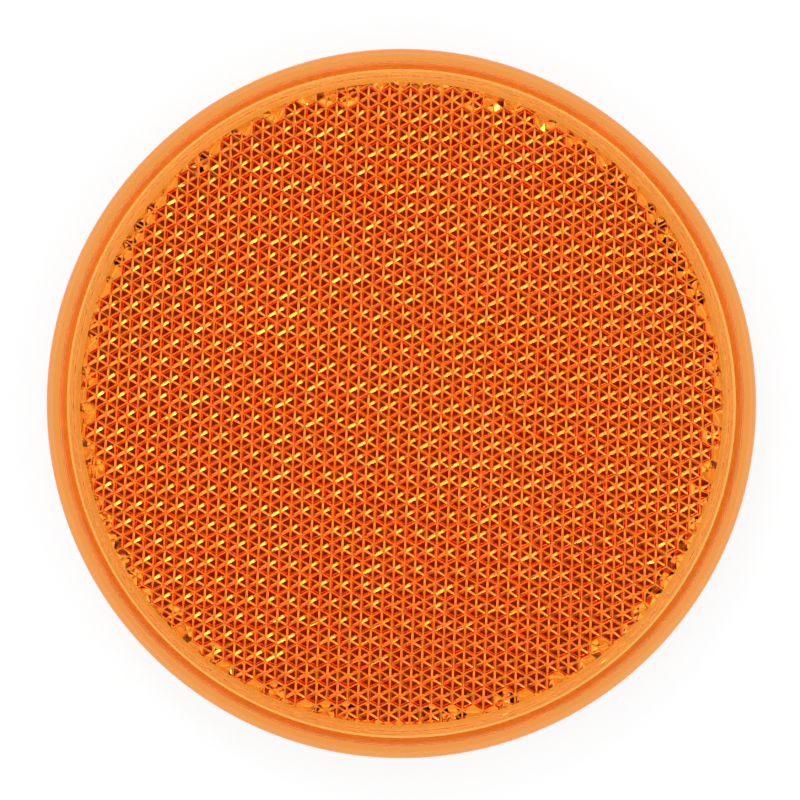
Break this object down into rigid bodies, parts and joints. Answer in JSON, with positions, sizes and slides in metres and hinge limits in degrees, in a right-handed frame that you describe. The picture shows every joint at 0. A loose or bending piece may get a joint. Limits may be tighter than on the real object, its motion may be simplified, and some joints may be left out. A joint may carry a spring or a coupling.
{
  "type": "adhesive reflector",
  "caption": "Round amber stick-on reflector: clear lens with corner-cube prisms behind a flat face, closed by a back plate with a foam adhesive pad.",
  "frame": {"origin": "centre of the adhesive face, on the surface that the reflector lies on", "axes": "+Z out of the front face, +X to the right and +Y up for someone who looks at the face"},
  "size_m": [0.081, 0.081, 0.0074],
  "materials": {
    "amber_acrylic": "polished clear amber acrylic",
    "plate_plastic": "fine matt white plastic",
    "foam_tape": "white closed-cell foam with a tacky adhesive face"
  },
  "bodies": {
    "root": {"lens": "amber_acrylic", "back_plate": "plate_plastic", "adhesive_pad": "foam_tape"}
  },
  "joints": []
}
